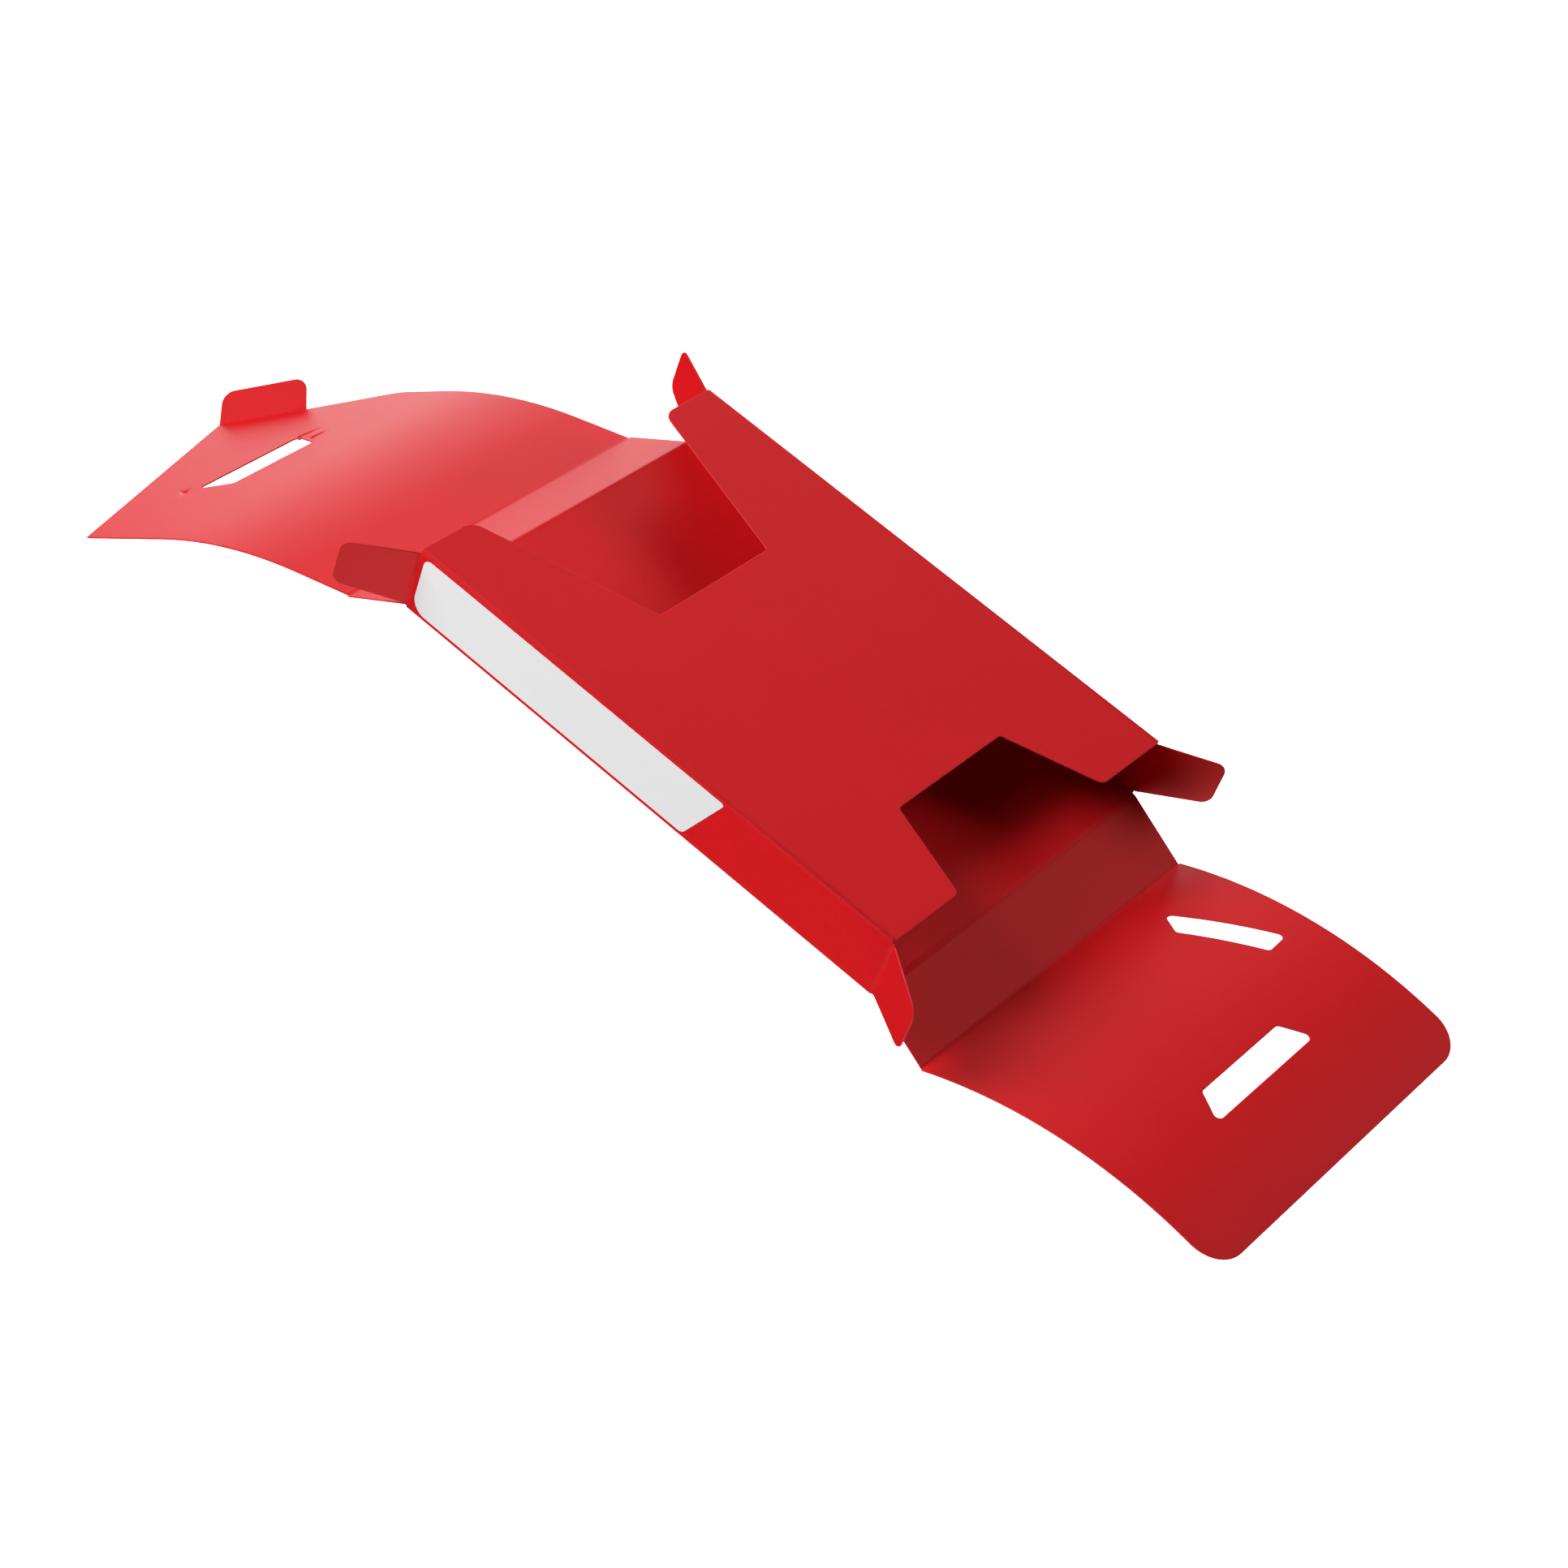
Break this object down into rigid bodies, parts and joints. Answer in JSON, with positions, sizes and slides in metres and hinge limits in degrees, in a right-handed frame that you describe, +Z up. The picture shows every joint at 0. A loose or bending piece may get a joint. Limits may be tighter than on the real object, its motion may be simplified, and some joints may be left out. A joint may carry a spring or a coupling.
{
  "type": "folding card sleeve",
  "caption": "Flat folding card sleeve with open ends, finger notches, dust flaps, and long slotted tongues that close over the top and lock.",
  "frame": {"origin": "middle of the base panel's outer face, which is the flat underside of the sleeve", "axes": "+X along the sleeve from the left end with the lock tab towards the right end, +Y from the labelled near wall to the far wall, +Z up from the base panel to the top panel"},
  "size_m": [0.4646, 0.1567, 0.1227],
  "materials": {
    "red_card": "matte uncoated solid-dyed card, faint fibre grain, slight sheen at a low angle",
    "creased_card": "the same card pressed along a crease, a little brighter where the fibres are stretched",
    "white_label": "matte white self-adhesive paper, blank"
  },
  "bodies": {
    "base": {"base_panel": "red_card", "crease_base_near": "creased_card", "crease_base_far": "creased_card", "crease_left_strip": "creased_card", "crease_right_strip": "creased_card"},
    "near_wall": {"near_wall": "red_card", "label": "white_label", "crease_top_near": "creased_card", "crease_flap_left_near": "creased_card", "crease_flap_right_near": "creased_card"},
    "far_wall": {"far_wall": "red_card", "glue_flap": "red_card", "crease_flap_left_far": "creased_card", "crease_flap_right_far": "creased_card"},
    "top_panel": {"top_panel": "red_card", "crease_top_far": "creased_card"},
    "left_near_flap": {"flap_left_near": "red_card"},
    "left_far_flap": {"flap_left_far": "red_card"},
    "right_near_flap": {"flap_right_near": "red_card"},
    "right_far_flap": {"flap_right_far": "red_card"},
    "left_strip": {"left_strip": "red_card", "crease_left_tongue": "creased_card"},
    "right_strip": {"right_strip": "red_card", "crease_right_tongue": "creased_card"},
    "left_tongue": {"left_tongue": "red_card", "crease_lock_tab": "creased_card"},
    "right_tongue": {"right_tongue": "red_card"},
    "lock_tab": {"lock_tab": "red_card"}
  },
  "joints": [
    {"name": "near_wall_lean", "type": "hinge", "parent": "base", "child": "near_wall", "pos_m": [0, -0.06415, 0.0005], "axis": [-1, 0, 0], "range_deg": [-80, 0], "deforming": ["crease_base_near"]},
    {"name": "far_wall_lean", "type": "hinge", "parent": "base", "child": "far_wall", "pos_m": [0, 0.06415, 0.0005], "axis": [-1, 0, 0], "range_deg": [-80, 0], "deforming": ["crease_base_far", "crease_top_far"]},
    {"name": "top_panel_shift", "type": "hinge", "parent": "near_wall", "child": "top_panel", "pos_m": [0, -0.06415, 0.0223], "axis": [-1, 0, 0], "range_deg": [0, 80], "deforming": ["crease_top_near"]},
    {"name": "left_near_flap_fold", "type": "hinge", "parent": "near_wall", "child": "left_near_flap", "pos_m": [-0.09, -0.0644, 0.0114], "axis": [0, 0, -1], "range_deg": [-22, 128], "deforming": ["crease_flap_left_near"]},
    {"name": "left_far_flap_fold", "type": "hinge", "parent": "far_wall", "child": "left_far_flap", "pos_m": [-0.09, 0.0644, 0.0114], "axis": [0, 0, 1], "range_deg": [-29, 121], "deforming": ["crease_flap_left_far"]},
    {"name": "right_near_flap_fold", "type": "hinge", "parent": "near_wall", "child": "right_near_flap", "pos_m": [0.09, -0.0644, 0.0114], "axis": [0, 0, 1], "range_deg": [-26, 124], "deforming": ["crease_flap_right_near"]},
    {"name": "right_far_flap_fold", "type": "hinge", "parent": "far_wall", "child": "right_far_flap", "pos_m": [0.09, 0.0644, 0.0114], "axis": [0, 0, -1], "range_deg": [-23, 127], "deforming": ["crease_flap_right_far"]},
    {"name": "left_strip_fold", "type": "hinge", "parent": "base", "child": "left_strip", "pos_m": [-0.0908, 0, 0.00025], "axis": [0, 1, 0], "range_deg": [-25.6, 124.4], "deforming": ["crease_left_strip"]},
    {"name": "left_tongue_fold", "type": "hinge", "parent": "left_strip", "child": "left_tongue", "pos_m": [-0.11069, 0, -0.01337], "axis": [0, 1, 0], "range_deg": [-45.3, 63.7], "deforming": ["crease_left_tongue"]},
    {"name": "right_strip_fold", "type": "hinge", "parent": "base", "child": "right_strip", "pos_m": [0.0908, 0, 0.00025], "axis": [0, -1, 0], "range_deg": [-33.1, 116.9], "deforming": ["crease_right_strip"]},
    {"name": "right_tongue_fold", "type": "hinge", "parent": "right_strip", "child": "right_tongue", "pos_m": [0.11229, 0, -0.01065], "axis": [0, -1, 0], "range_deg": [-84.8, 39.2], "deforming": ["crease_right_tongue"]},
    {"name": "lock_tab_fold", "type": "hinge", "parent": "left_tongue", "child": "lock_tab", "pos_m": [-0.23506, 0.04204, -0.09048], "axis": [-0.7093, -0.4226, -0.5642], "range_deg": [-45, 135], "deforming": ["crease_lock_tab"]}
  ],
  "couplings": [
    {"joint": "far_wall_lean", "follows": "near_wall_lean", "ratio": 1},
    {"joint": "top_panel_shift", "follows": "near_wall_lean", "ratio": -1}
  ]
}
